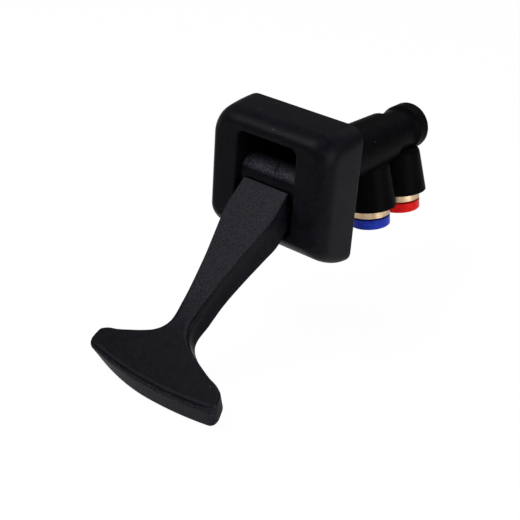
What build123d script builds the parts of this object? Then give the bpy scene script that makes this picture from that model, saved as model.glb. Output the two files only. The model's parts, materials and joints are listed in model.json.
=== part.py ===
"""Dash mounted hand valve for trailer brakes, in millimetres.

X runs across the dash, Y runs into it and Z is up. The origin is the centre
of the bezel's rear face, which lies on the dash panel. The lever is shown at
rest, on its lower stop.
"""
import math
import os

from build123d import *

# Bezel, a tapered housing with a window for the lever
bezel_width = 56.0
bezel_height = 56.0
bezel_depth = 22.2
bezel_corner = 9.0
bezel_low_corner = 5.5
bezel_front_width = 54.0
bezel_front_top = 27.0
bezel_front_bottom = -18.4
bezel_front_corner = 9.0
bezel_front_round = 4.2
bezel_wall = 3.0
window_width = 27.8
window_top = 21.1
window_bottom = -14.9
window_corner = 3.0
cheek_thickness = 3.6

# Threaded inserts that take the panel's screws
insert_spacing = 41.0
insert_radius = 2.8
insert_thread_radius = 1.65
insert_length = 8.0
insert_wall = 2.4

# Lever, measured from its hub along its flat top face
hub_y = -12.7
hub_z = 3.0
hub_radius = 7.1
hub_end_gap = 0.5
lever_angle = 42.2
lever_swing = 60.0
lever_top = 5.1
lever_stations = [8.4, 17.6, 24.0, 30.0, 42.0, 54.0, 67.0, 80.0]
lever_half_widths = [10.7, 10.9, 10.1, 8.9, 6.6, 5.2, 4.7, 4.4]
lever_depths = [11.5, 11.4, 12.8, 12.4, 11.4, 9.9, 9.2, 7.5]
lever_side_flare = 1.5
lever_low_round = 2.0
lever_high_round = 0.6
web_half_width = 11.2
web_length = 10.0
web_top = 1.8
web_bottom = -6.3

# Hammer head at the lever's end
paddle_length = 93.1
paddle_half_width = 31.3
paddle_neck_station = 66.0
paddle_neck_half_width = 4.7
paddle_shoulder_station = 81.5
paddle_tip_station = 90.4
paddle_tip_inset = 2.2
paddle_flank_point = (10.6, 74.6)
paddle_thickness = 7.2
paddle_front_slant = 3.8
paddle_tip_slants = (0.6, 4.0)
paddle_low_inset = 2.0
paddle_corner = 2.8
paddle_low_round = 0.8
paddle_bead = 0.6

# Hinge pin, its bushes, washers and clips
pin_radius = 2.4
pin_overhang = 2.4
pin_chamfer = 0.4
pin_groove_depth = 0.5
clip_thickness = 0.7
clip_radius = 4.2
clip_lobe = 0.8
clip_gap = 0.1
bush_wall = 1.0
bush_length = 6.5
washer_thickness = 0.4
washer_radius = 5.6
running_gap = 0.06

# Cam notch at the back of the hub and the plunger's nose in it
cam_rise_per_radian = 2.6
cam_base = 3.9
cam_half_width = 4.7
cam_ledge = -1.25
cam_steps = 8
cam_gap = 0.1
nose_half_width = 3.9
nose_top = 7.1
nose_bottom = 2.1

# Valve body, turned about the Y axis
flange_gap = 0.3
flange_thickness = 5.0
barrel_root_radius = 12.0
barrel_end_radius = 10.6
barrel_end = 58.6
barrel_shoulder = 2.2
tube_radius = 9.1
flare_length = 3.4
flare_radius = 10.2
rim_step = 0.5
rim_step_length = 0.6
rim_round = 1.5
rim_length = 7.8
body_end = 81.0
end_bore = 8.5
end_bore_depth = 5.5
ring_groove_radius = 9.1
ring_groove_depth = 2.3
ring_groove_width = 1.1
main_bore = 8.2
rear_bore = 7.2
partition_start = 56.0
partition_thickness = 4.0
seat_hole = 4.6

# Screws that hold the valve body in the bezel
screw_x = 18.5
screw_z = 11.0
screw_radius = 1.4
screw_head_radius = 2.8
screw_length = 12.0
screw_boss_radius = 3.2
screw_key_radius = 1.3
screw_key_depth = 1.2
screw_gap = 0.05

# Plunger, piston and poppet
bore_gap = 0.07
plunger_head_start = -3.0
plunger_head_length = 6.0
plunger_stem_radius = 3.2
plunger_stem_length = 7.0
piston_start = 26.0
piston_length = 8.0
piston_stem_radius = 2.6
piston_vent_radius = 1.2
piston_to_poppet = 0.75
piston_boss_length = 6.0
seal_section = 0.9
seal_gap = 0.04
seal_groove_width = 2.0
seal_groove_depth = 1.9
seal_land = 1.2
seat_bore = 4.0
poppet_radius = 5.8
poppet_cup_wall = 0.8
poppet_face_thickness = 1.2
poppet_cup_length = 3.0
poppet_stem_radius = 2.2
poppet_stem_length = 8.0
seat_lip_height = 0.8
seat_lip_width = 0.7
seat_insert_radius = 6.4
seat_insert_thickness = 2.6
poppet_rest_gap = 0.1

# Springs: wire radius, coil radius and turns
graduating_wire = 0.75
graduating_coil = 5.6
graduating_turns = 6
return_wire = 0.6
return_coil = 6.6
return_turns = 6
poppet_wire = 0.45
poppet_coil = 3.6
poppet_turns = 5
spring_seat_gap = 0.05

# End cap, a plug held in the flared end by a retaining ring
cap_gap = 0.05
cap_plug_length = 4.5
cap_guide_depth = 4.0
cap_dish_radius = 6.4
cap_dish_depth = 1.0
cap_knob_radius = 2.2
ring_inner_radius = 7.5
ring_open_angle = 40.0
ring_eye_radius = 1.2
ring_eye_hole = 0.6

# Tube ports, turned about the body's axis
port_turn = 10.0
delivery_y = 47.6
supply_y = 71.5
boss_top = 10.5
boss_top_radius = 9.4
boss_bottom = 27.0
boss_bottom_radius = 11.6
boss_dome_top = 6.2
boss_dome_flat = 4.0
boss_dome_inset = 1.3
cartridge_radius = 8.0
cartridge_flange_radius = 8.8
cartridge_flange_height = 3.6
cartridge_top = 12.6
cartridge_gap = 0.03
cartridge_groove = 14.6
tube_bore = 4.85
tube_stop_bore = 3.6
tube_stop_height = 1.6
tube_seal_top = 16.6
tube_seal_height = 2.2
tube_seal_outer = 6.9
tube_seal_inner = 4.9
grip_top = 20.2
grip_thickness = 0.6
grip_chamber = 6.9
grip_chamber_height = 1.2
grip_bore = 5.1
grip_teeth = 8
grip_slot_length = 1.2
grip_slot_width = 0.6
collar_gap = 0.9
collar_flange_height = 4.2
collar_flange_radius = 8.7
collar_sleeve_radius = 6.3
collar_sleeve_top = 22.4
collar_bore = 5.15
collar_edge = 0.5
port_passage = 3.0
supply_passage_shift = 4.0

# Depth by which a cut runs past what it cuts
cut_margin = 1.0

# Worked out from the sizes above
hub_half_length = window_width / 2 - hub_end_gap
cheek_outside = window_width / 2 + cheek_thickness
port_angle = math.radians(port_turn)
port_down = Vector(math.sin(port_angle), 0, -math.cos(port_angle))
front_height = bezel_front_top - bezel_front_bottom
front_middle = (bezel_front_top + bezel_front_bottom) / 2
cavity_front = bezel_wall - bezel_depth
bush_radius = pin_radius + running_gap + bush_wall
collar_flange_top = boss_bottom + cartridge_flange_height + collar_gap
partition_end = partition_start + partition_thickness
end_bore_start = body_end - end_bore_depth
ring_groove_start = body_end - ring_groove_depth
rim_start = body_end - rim_length
paddle_low = lever_top - paddle_thickness

# Planes
hub_plane = Plane(origin=(0, hub_y, hub_z), x_dir=(0, 1, 0), z_dir=(1, 0, 0))
lever_lean = math.radians(lever_angle)
lever_normal = (0, -math.sin(lever_lean), math.cos(lever_lean))
lever_along = (0, -math.cos(lever_lean), -math.sin(lever_lean))


def across(y):
    """Plane square to the Y axis at y, seen from the front, with X right and Z up."""
    return Plane(origin=(0, y, 0), x_dir=(1, 0, 0), z_dir=(0, -1, 0))


def port_profile(y):
    """Plane through a port's axis, with X along the body and Y down the port."""
    return Plane(origin=(0, y, 0), x_dir=(0, 1, 0), z_dir=Vector(0, 1, 0).cross(port_down))


def port_plane(y, distance):
    """Plane square to a port's axis, at a distance from the body's axis."""
    return Plane(origin=Vector(0, y, 0) + port_down * distance, x_dir=(0, 1, 0), z_dir=port_down)


def lever_section(station):
    """Plane square to the lever at a distance from the hub, with X across and Y up."""
    origin = Vector(0, hub_y, hub_z) + Vector(*lever_along) * station
    return Plane(origin=origin, x_dir=(1, 0, 0), z_dir=lever_along)


def lever_level(height):
    """Plane level with the lever's top face, with X across and Y back along the lever."""
    origin = Vector(0, hub_y, hub_z) + Vector(*lever_normal) * height
    return Plane(origin=origin, x_dir=(1, 0, 0), z_dir=lever_normal)


def bezel_outline(fore, inset):
    """The bezel's rear outline, or its front one where fore is 1, brought in by an inset."""
    width = bezel_front_width if fore else bezel_width
    height = front_height if fore else bezel_height
    corner = bezel_front_corner if fore else bezel_corner
    with Locations((0, front_middle * fore)):
        Rectangle(width - 2 * inset, height - 2 * inset)
    fillet(vertices().group_by(Axis.Y)[-1], corner - inset)
    fillet(vertices().group_by(Axis.Y)[0], bezel_low_corner - inset)


def turned(points):
    """Solid turned about the Y axis from its profile of radius and Y."""
    with BuildSketch(Plane.XY) as profile:
        with BuildLine():
            Polyline(*points, close=True)
        make_face()
    revolve(profile.sketch, axis=Axis.Y)


def seal_ring(y, outside):
    """Ring of round section about the Y axis."""
    with BuildSketch(Plane.XY) as section:
        with Locations((outside - seal_section, y)):
            Circle(seal_section)
    revolve(section.sketch, axis=Axis.Y)


def coil_spring(y_start, y_end, coil, wire, turns):
    """Coil spring about the Y axis between two seats."""
    height = y_end - y_start - 2 * (wire + spring_seat_gap)
    start = y_start + wire + spring_seat_gap
    with BuildLine() as path:
        Helix(height / turns, height, coil, center=(0, start, 0), direction=(0, 1, 0))
    with BuildSketch(Plane(origin=path.line @ 0, z_dir=path.line % 0)) as section:
        Circle(wire)
    sweep(section.sketch, path=path.line, is_frenet=True)


def port_turned(y, points):
    """Solid turned about a port's axis from its profile of radius and distance."""
    with BuildSketch(port_profile(y)) as profile:
        with BuildLine():
            Polyline(*points, close=True)
        make_face()
    revolve(profile.sketch, axis=Axis((0, y, 0), port_down))


def write(block, label):
    """Label a finished piece and write it."""
    block.part.label = label
    export_step(block.part, f"parts/{label}.step")


os.makedirs("parts", exist_ok=True)

# Bezel shell with window, cheeks and bosses
with BuildPart() as bezel:
    with BuildSketch(across(0)):
        bezel_outline(0, 0)
    with BuildSketch(across(-bezel_depth)):
        bezel_outline(1, 0)
    loft()
    front_edges = bezel.faces().sort_by(Axis.Y)[0].edges()
    fillet(front_edges, bezel_front_round)
    with BuildSketch(across(0)):
        bezel_outline(0, bezel_wall)
    with BuildSketch(across(cavity_front)):
        bezel_outline(1, bezel_wall)
    loft(mode=Mode.SUBTRACT)
    window_height = window_top - window_bottom
    with BuildSketch(across(cavity_front + bezel_wall)):
        with Locations((0, (window_top + window_bottom) / 2)):
            RectangleRounded(window_width, window_height, window_corner)
    extrude(amount=2 * bezel_wall + bezel_front_round, mode=Mode.SUBTRACT)
    # Everything inside is trimmed by the same tapered outline
    with BuildSketch(across(0)):
        bezel_outline(0, bezel_wall / 2)
    with BuildSketch(across(cavity_front)):
        bezel_outline(1, bezel_wall / 2)
    bezel_limit = loft(mode=Mode.PRIVATE)
    with BuildSketch(across(-flange_thickness)):
        for side in (-1, 1):
            with Locations((side * (window_width + cheek_thickness) / 2, 0)):
                Rectangle(cheek_thickness, bezel_height)
        with GridLocations(2 * screw_x, 2 * screw_z, 2, 2):
            Circle(screw_boss_radius)
    cheeks = extrude(amount=bezel_depth - flange_thickness - bezel_wall, mode=Mode.PRIVATE)
    with BuildSketch(across(0)):
        with GridLocations(insert_spacing, insert_spacing, 2, 2):
            Circle(insert_radius + insert_wall)
    corners = extrude(amount=bezel_depth - bezel_wall, mode=Mode.PRIVATE)
    add(cheeks & bezel_limit)
    add(corners & bezel_limit)
    with BuildSketch(across(0)):
        with GridLocations(insert_spacing, insert_spacing, 2, 2):
            Circle(insert_radius)
    extrude(amount=insert_length, mode=Mode.SUBTRACT)
    with BuildSketch(across(-flange_thickness)):
        with GridLocations(2 * screw_x, 2 * screw_z, 2, 2):
            Circle(screw_radius + screw_gap)
    extrude(amount=screw_length - flange_thickness + cut_margin, mode=Mode.SUBTRACT)
    with BuildSketch(hub_plane):
        Circle(pin_radius + screw_gap)
    extrude(amount=cheek_outside + cut_margin, both=True, mode=Mode.SUBTRACT)
write(bezel, "bezel")

# Brass inserts, flush with the rear face
with BuildPart() as mount_inserts:
    with BuildSketch(across(0)):
        with GridLocations(insert_spacing, insert_spacing, 2, 2):
            Circle(insert_radius)
            Circle(insert_thread_radius, mode=Mode.SUBTRACT)
    extrude(amount=insert_length)
write(mount_inserts, "mount_inserts")

# Lever: tapering arm, hammer head, web and hub barrel
with BuildPart() as lever:
    for station, half_width, depth in zip(lever_stations, lever_half_widths, lever_depths):
        with BuildSketch(lever_section(station)):
            with BuildLine():
                Polyline(
                    (-half_width, lever_top),
                    (half_width, lever_top),
                    (half_width + lever_side_flare, lever_top - depth),
                    (-half_width - lever_side_flare, lever_top - depth),
                    close=True,
                )
            make_face()
    loft()
    arm_edges = lever.edges().filter_by(lambda edge: edge.length > paddle_neck_station / 2)
    low_edges = arm_edges.sort_by(lambda edge: (edge @ 0.5).dot(Vector(*lever_normal)))[:2]
    high_edges = arm_edges.sort_by(lambda edge: (edge @ 0.5).dot(Vector(*lever_normal)))[2:]
    fillet(low_edges, lever_low_round)
    fillet(high_edges, lever_high_round)
    for height, low in ((lever_top, 0), (paddle_low, 1)):
        flank = paddle_flank_point[0] - paddle_low_inset * low
        flank_station = paddle_flank_point[1] + paddle_low_inset * low
        shoulder = paddle_half_width - paddle_tip_inset
        left_slant, right_slant = paddle_tip_slants
        with BuildSketch(lever_level(height)):
            with BuildLine():
                for side, slant in ((-1, left_slant * low), (1, right_slant * low)):
                    ThreePointArc(
                        (side * paddle_neck_half_width, -paddle_neck_station),
                        (side * flank, -flank_station),
                        (side * shoulder, -paddle_shoulder_station - slant / 2),
                    )
                    Line(
                        (side * shoulder, -paddle_shoulder_station - slant / 2),
                        (side * paddle_half_width, -paddle_tip_station - slant),
                    )
                Line(
                    (-paddle_neck_half_width, -paddle_neck_station),
                    (paddle_neck_half_width, -paddle_neck_station),
                )
                ThreePointArc(
                    (-paddle_half_width, -paddle_tip_station - left_slant * low),
                    (0, -paddle_length - paddle_front_slant * low),
                    (paddle_half_width, -paddle_tip_station - right_slant * low),
                )
            make_face()
            tips = vertices().filter_by(lambda corner: abs(corner.X) > paddle_half_width / 2)
            fillet(tips, paddle_corner)
    paddle = loft(mode=Mode.PRIVATE)
    rims = paddle.faces().sort_by(lambda face: face.center().dot(Vector(*lever_normal)))
    low_rims = rims[0].edges().filter_by(lambda edge: edge.length > 2 * paddle_corner)
    paddle = paddle.fillet(paddle_low_round, low_rims)
    add(paddle)
    with BuildLine(lever_level(lever_top - paddle_bead / 3)) as bead_path:
        ThreePointArc(
            (paddle_corner - paddle_half_width, paddle_bead - paddle_tip_station),
            (0, paddle_bead - paddle_length),
            (paddle_half_width - paddle_corner, paddle_bead - paddle_tip_station),
        )
    with BuildSketch(Plane(origin=bead_path.line @ 0, z_dir=bead_path.line % 0)):
        Circle(paddle_bead)
    sweep(path=bead_path.line)
    with BuildSketch(Plane(origin=(0, hub_y, hub_z), x_dir=lever_along, z_dir=(1, 0, 0))):
        with Locations((web_length / 2, (web_top + web_bottom) / 2)):
            Rectangle(web_length, web_top - web_bottom)
    extrude(amount=web_half_width, both=True)
    with BuildSketch(hub_plane):
        Circle(hub_radius)
    extrude(amount=hub_half_length, both=True)
    # The notch leaves an involute cam, whose rise is even against a flat nose
    with BuildSketch(hub_plane):
        with BuildLine():
            cam_points = []
            for step in range(cam_steps + 1):
                turn = math.radians(lever_swing) * step / cam_steps
                reach = cam_base + cam_rise_per_radian * turn
                across_cam = reach * math.cos(turn) - cam_rise_per_radian * math.sin(turn)
                up_cam = reach * math.sin(turn) + cam_rise_per_radian * math.cos(turn)
                cam_points.append((across_cam, up_cam))
            Spline(*cam_points)
            Polyline(
                cam_points[-1],
                (cam_points[-1][0], 2 * hub_radius),
                (2 * hub_radius, 2 * hub_radius),
                (2 * hub_radius, cam_ledge),
                (cam_base, cam_ledge),
                cam_points[0],
            )
        make_face()
    extrude(amount=cam_half_width, both=True, mode=Mode.SUBTRACT)
    with BuildSketch(hub_plane):
        Circle(pin_radius + screw_gap)
    extrude(amount=hub_half_length, both=True, mode=Mode.SUBTRACT)
    for side in (-1, 1):
        with BuildSketch(hub_plane.offset(side * hub_half_length)):
            Circle(bush_radius)
        extrude(amount=-side * bush_length, mode=Mode.SUBTRACT)
write(lever, "lever")

# Bushes in the hub's ends
with BuildPart() as hub_bushes:
    for side in (-1, 1):
        with BuildSketch(hub_plane.offset(side * hub_half_length)):
            Circle(bush_radius)
            Circle(pin_radius + running_gap, mode=Mode.SUBTRACT)
        extrude(amount=-side * bush_length)
write(hub_bushes, "hub_bushes")

# Hinge pin with a groove and a clip near each end
pin_half_length = cheek_outside + pin_overhang
clip_place = cheek_outside + clip_gap
with BuildPart() as pivot_pin:
    with BuildSketch(hub_plane):
        Circle(pin_radius)
    extrude(amount=pin_half_length, both=True)
    chamfer(pivot_pin.edges().filter_by(GeomType.CIRCLE), pin_chamfer)
    for side in (-1, 1):
        with BuildSketch(hub_plane.offset(side * clip_place)):
            Circle(pin_radius + cut_margin)
            Circle(pin_radius - pin_groove_depth, mode=Mode.SUBTRACT)
        extrude(amount=side * clip_thickness, mode=Mode.SUBTRACT)
write(pivot_pin, "pivot_pin")

with BuildPart() as pin_clips:
    for side in (-1, 1):
        with BuildSketch(hub_plane.offset(side * clip_place)):
            Circle(clip_radius)
            Circle(pin_radius - pin_groove_depth + screw_gap, mode=Mode.SUBTRACT)
            with Locations((0, -clip_radius)):
                Rectangle(2 * (pin_radius - pin_groove_depth), 2 * clip_radius, mode=Mode.SUBTRACT)
            with PolarLocations(pin_radius + clip_lobe, 2, start_angle=30, angular_range=120, endpoint=True):
                Circle(clip_lobe, mode=Mode.SUBTRACT)
        extrude(amount=side * (clip_thickness - screw_gap))
write(pin_clips, "pin_clips")

# Thrust washers between the hub's ends and the cheeks
with BuildPart() as thrust_washers:
    for side in (-1, 1):
        with BuildSketch(hub_plane.offset(side * window_width / 2)):
            Circle(washer_radius)
            Circle(pin_radius + running_gap, mode=Mode.SUBTRACT)
        extrude(amount=-side * washer_thickness)
write(thrust_washers, "thrust_washers")

# Valve body: flange, stepped barrel with a flared end, and two port bosses
with BuildPart() as valve_body:
    with BuildSketch(Plane.XY):
        with BuildLine():
            Polyline(
                (0, -flange_thickness),
                (barrel_root_radius, -flange_thickness),
                (barrel_root_radius, 0),
                (barrel_end_radius, barrel_end),
                (tube_radius, barrel_end + barrel_shoulder),
                (tube_radius, rim_start - flare_length),
            )
            TangentArc(
                (tube_radius, rim_start - flare_length),
                (flare_radius, rim_start),
                tangent=(0, 1),
            )
            Polyline(
                (flare_radius, rim_start),
                (flare_radius - rim_step, rim_start + rim_step_length / 2),
                (flare_radius, rim_start + rim_step_length),
                (flare_radius, body_end),
                (0, body_end),
                (0, -flange_thickness),
            )
        make_face()
    revolve(axis=Axis.Y)
    fillet(valve_body.faces().sort_by(Axis.Y)[-1].edges(), rim_round)
    for port_y in (delivery_y, supply_y):
        with BuildSketch(port_profile(port_y)):
            with BuildLine():
                Polyline(
                    (0, boss_dome_top),
                    (0, boss_bottom),
                    (boss_bottom_radius, boss_bottom),
                    (boss_top_radius, boss_top),
                )
                ThreePointArc(
                    (boss_top_radius, boss_top),
                    (boss_top_radius - boss_dome_inset, (boss_top + boss_dome_top) / 2 - boss_dome_inset / 2),
                    (boss_dome_flat, boss_dome_top),
                )
                Line((boss_dome_flat, boss_dome_top), (0, boss_dome_top))
            make_face()
        revolve(axis=Axis((0, port_y, 0), port_down))
    with BuildSketch(across(0)):
        bezel_outline(0, bezel_wall + flange_gap)
    with BuildSketch(across(cavity_front)):
        bezel_outline(1, bezel_wall + flange_gap)
    flange_limit = loft(mode=Mode.PRIVATE)
    with BuildSketch(across(0)):
        Rectangle(bezel_width, bezel_height)
        with GridLocations(insert_spacing, insert_spacing, 2, 2):
            Circle(insert_radius + insert_wall + flange_gap, mode=Mode.SUBTRACT)
    flange = extrude(amount=flange_thickness, mode=Mode.PRIVATE)
    add(flange & flange_limit)
    with BuildSketch(Plane.XY):
        with BuildLine():
            Polyline(
                (0, -flange_thickness),
                (main_bore, -flange_thickness),
                (main_bore, partition_start),
                (seat_hole, partition_start),
                (seat_hole, partition_end - seat_insert_thickness),
                (seat_insert_radius, partition_end - seat_insert_thickness),
                (seat_insert_radius, partition_end),
                (rear_bore, partition_end),
                (rear_bore, end_bore_start),
                (end_bore, end_bore_start),
                (end_bore, ring_groove_start),
                (ring_groove_radius, ring_groove_start),
                (ring_groove_radius, ring_groove_start + ring_groove_width),
                (end_bore, ring_groove_start + ring_groove_width),
                (end_bore, body_end),
                (0, body_end),
                close=True,
            )
        make_face()
    revolve(axis=Axis.Y, mode=Mode.SUBTRACT)
    for port_y, passage_shift in ((delivery_y, 0.0), (supply_y, -supply_passage_shift)):
        with BuildSketch(port_plane(port_y, boss_bottom)):
            Circle(cartridge_radius + cartridge_gap)
        extrude(amount=cartridge_top - boss_bottom, mode=Mode.SUBTRACT)
        with BuildSketch(port_plane(port_y + passage_shift, 0)):
            Circle(port_passage)
        extrude(amount=cartridge_top + cut_margin, mode=Mode.SUBTRACT)
    with Locations(across(0)):
        with GridLocations(2 * screw_x, 2 * screw_z, 2, 2):
            with Locations(Location((0, 0, 0), (180, 0, 0))):
                CounterSinkHole(screw_radius + screw_gap, screw_head_radius + screw_gap, flange_thickness)
write(valve_body, "valve_body")

# Screws that hold the body's flange to the bezel, with socket heads sunk flush
with BuildPart() as body_screws:
    with BuildSketch(Plane.XY):
        with BuildLine():
            Polyline(
                (0, 0),
                (screw_head_radius, 0),
                (screw_radius, screw_radius - screw_head_radius),
                (screw_radius, -screw_length),
                (0, -screw_length),
                close=True,
            )
        make_face()
    revolve(axis=Axis.Y)
    with BuildSketch(across(0)):
        RegularPolygon(screw_key_radius, 6)
    extrude(amount=screw_key_depth, mode=Mode.SUBTRACT)
    one_screw = body_screws.part
    with BuildSketch(across(0)):
        Circle(2 * screw_head_radius)
    extrude(amount=screw_length, mode=Mode.SUBTRACT)
    for side in (-1, 1):
        for level in (-1, 1):
            add(one_screw.moved(Location((side * screw_x, 0, level * screw_z))))
write(body_screws, "body_screws")

# Plunger with a flat nose that the cam pushes
nose_face = hub_y + cam_base + cam_gap
head_end = plunger_head_start + plunger_head_length
piston_radius = main_bore - bore_gap
with BuildPart() as plunger:
    seal_bottom = piston_radius - seal_groove_depth
    plunger_groove = head_end - seal_groove_width - seal_land
    turned(
        [
            (0, plunger_head_start),
            (piston_radius, plunger_head_start),
            (piston_radius, plunger_groove),
            (seal_bottom, plunger_groove),
            (seal_bottom, plunger_groove + seal_groove_width),
            (piston_radius, plunger_groove + seal_groove_width),
            (piston_radius, head_end),
            (plunger_stem_radius, head_end),
            (plunger_stem_radius, head_end + plunger_stem_length),
            (0, head_end + plunger_stem_length),
        ]
    )
    with BuildSketch(across(plunger_head_start)):
        with Locations((0, (nose_top + nose_bottom) / 2)):
            Rectangle(2 * nose_half_width, nose_top - nose_bottom)
    extrude(amount=plunger_head_start - nose_face)
    chamfer(plunger.faces().sort_by(Axis.Y)[-1].edges(), pin_chamfer)
write(plunger, "plunger")

with BuildPart() as plunger_seal:
    seal_ring(plunger_groove + seal_groove_width / 2, main_bore - seal_gap)
write(plunger_seal, "plunger_seal")

# Piston with a hollow stem that vents when it leaves the poppet
poppet_face = partition_end + seat_lip_height + poppet_rest_gap
piston_end = piston_start + piston_length
piston_tip = poppet_face - piston_to_poppet
with BuildPart() as piston:
    piston_groove = piston_start + (piston_length - seal_groove_width) / 2
    turned(
        [
            (0, piston_start - piston_boss_length),
            (plunger_stem_radius, piston_start - piston_boss_length),
            (plunger_stem_radius, piston_start),
            (piston_radius, piston_start),
            (piston_radius, piston_groove),
            (seal_bottom, piston_groove),
            (seal_bottom, piston_groove + seal_groove_width),
            (piston_radius, piston_groove + seal_groove_width),
            (piston_radius, piston_end),
            (piston_stem_radius, piston_end),
            (piston_stem_radius, piston_tip),
            (0, piston_tip),
        ]
    )
    with BuildSketch(across(piston_tip)):
        Circle(piston_vent_radius)
    extrude(amount=piston_tip - piston_start + piston_boss_length, mode=Mode.SUBTRACT)
write(piston, "piston")

with BuildPart() as piston_seal:
    seal_ring(piston_groove + seal_groove_width / 2, main_bore - seal_gap)
write(piston_seal, "piston_seal")

with BuildPart() as graduating_spring:
    coil_spring(head_end, piston_start, graduating_coil, graduating_wire, graduating_turns)
write(graduating_spring, "graduating_spring")

with BuildPart() as return_spring:
    coil_spring(piston_end, partition_start, return_coil, return_wire, return_turns)
write(return_spring, "return_spring")

# Seat with a raised lip, pressed into the partition
with BuildPart() as valve_seat:
    seat_start = partition_end - seat_insert_thickness
    seat_outside = seat_insert_radius - screw_gap
    turned(
        [
            (seat_bore, seat_start),
            (seat_outside, seat_start),
            (seat_outside, partition_end),
            (seat_bore + seat_lip_width, partition_end),
            (seat_bore + seat_lip_width, partition_end + seat_lip_height),
            (seat_bore, partition_end + seat_lip_height),
        ]
    )
write(valve_seat, "valve_seat")

# Poppet cup and its rubber face
cup_end = poppet_face + poppet_cup_length
with BuildPart() as poppet:
    cup_floor = poppet_face + poppet_face_thickness
    turned(
        [
            (0, cup_floor),
            (poppet_radius - poppet_cup_wall, cup_floor),
            (poppet_radius - poppet_cup_wall, poppet_face + poppet_cup_wall / 2),
            (poppet_radius, poppet_face + poppet_cup_wall / 2),
            (poppet_radius, cup_end),
            (poppet_stem_radius, cup_end),
            (poppet_stem_radius, cup_end + poppet_stem_length),
            (0, cup_end + poppet_stem_length),
        ]
    )
write(poppet, "poppet")

with BuildPart() as poppet_face_disc:
    with BuildSketch(across(cup_floor)):
        Circle(poppet_radius - poppet_cup_wall)
    extrude(amount=poppet_face_thickness)
write(poppet_face_disc, "poppet_face")

# End cap with a plug that guides the poppet's stem
plug_start = end_bore_start - cap_plug_length
cap_start = end_bore_start + cap_gap
cap_end = ring_groove_start - cap_gap
plug_radius = rear_bore - cap_gap
with BuildPart() as end_cap:
    plug_seal_bottom = plug_radius - seal_groove_depth
    plug_groove = plug_start + seal_land
    turned(
        [
            (0, plug_start + cap_guide_depth),
            (poppet_stem_radius + running_gap, plug_start + cap_guide_depth),
            (poppet_stem_radius + running_gap, plug_start),
            (plug_radius, plug_start),
            (plug_radius, plug_groove),
            (plug_seal_bottom, plug_groove),
            (plug_seal_bottom, plug_groove + seal_groove_width),
            (plug_radius, plug_groove + seal_groove_width),
            (plug_radius, cap_start),
            (end_bore - cap_gap, cap_start),
            (end_bore - cap_gap, cap_end),
            (cap_dish_radius, cap_end),
            (cap_dish_radius - cap_dish_depth, cap_end - cap_dish_depth),
            (cap_knob_radius, cap_end - cap_dish_depth),
            (cap_knob_radius, cap_end),
            (0, cap_end),
        ]
    )
write(end_cap, "end_cap")

# Retaining ring with two eyes for its pliers
with BuildPart() as retaining_ring:
    with BuildSketch(across(ring_groove_start + ring_groove_width - cap_gap)):
        Circle(ring_groove_radius - cap_gap)
        Circle(ring_inner_radius, mode=Mode.SUBTRACT)
        with BuildLine():
            half_open = math.radians(ring_open_angle / 2)
            gap_corner = (2 * end_bore * math.sin(half_open), 2 * end_bore * math.cos(half_open))
            Polyline((0, 0), gap_corner, (-gap_corner[0], gap_corner[1]), close=True)
        make_face(mode=Mode.SUBTRACT)
        eye_turn = half_open + ring_eye_radius / ring_inner_radius
        for side in (-1, 1):
            eye_x = side * ring_inner_radius * math.sin(eye_turn)
            with Locations((eye_x, ring_inner_radius * math.cos(eye_turn))):
                Circle(ring_eye_radius)
                Circle(ring_eye_hole, mode=Mode.SUBTRACT)
    extrude(amount=ring_groove_width - 2 * cap_gap)
write(retaining_ring, "retaining_ring")

with BuildPart() as end_cap_seal:
    seal_ring(plug_groove + seal_groove_width / 2, rear_bore - seal_gap)
write(end_cap_seal, "end_cap_seal")

with BuildPart() as poppet_spring:
    coil_spring(cup_end, plug_start, poppet_coil, poppet_wire, poppet_turns)
write(poppet_spring, "poppet_spring")

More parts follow.
